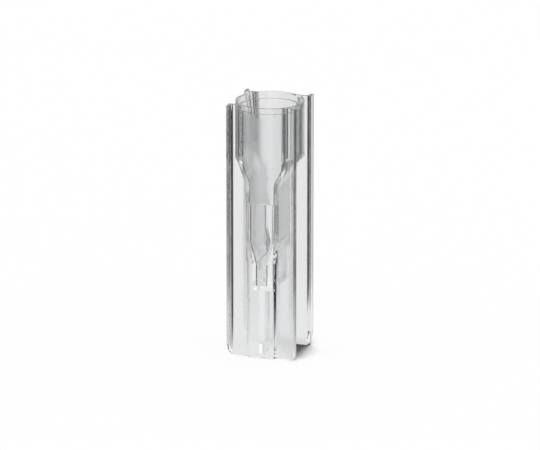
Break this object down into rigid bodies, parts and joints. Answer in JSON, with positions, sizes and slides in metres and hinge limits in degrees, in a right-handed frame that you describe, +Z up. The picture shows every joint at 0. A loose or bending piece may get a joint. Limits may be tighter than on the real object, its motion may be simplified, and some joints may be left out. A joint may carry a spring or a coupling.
{
  "type": "micro cuvette",
  "caption": "Clear disposable micro cuvette: a round lidded mouth narrows through a funnel and neck to a small measuring chamber between two window pads, held by ribbed panels.",
  "frame": {"origin": "centre of the foot, on the surface it stands on, midway between the outer faces both ways", "axes": "+Z up to the mouth; the windows face -Y and +Y; X runs across the front"},
  "size_m": [0.0122, 0.0122, 0.0452],
  "materials": {
    "clear_plastic": "clear, glossy, as moulded"
  },
  "bodies": {
    "root": {"cuvette": "clear_plastic"}
  },
  "joints": []
}
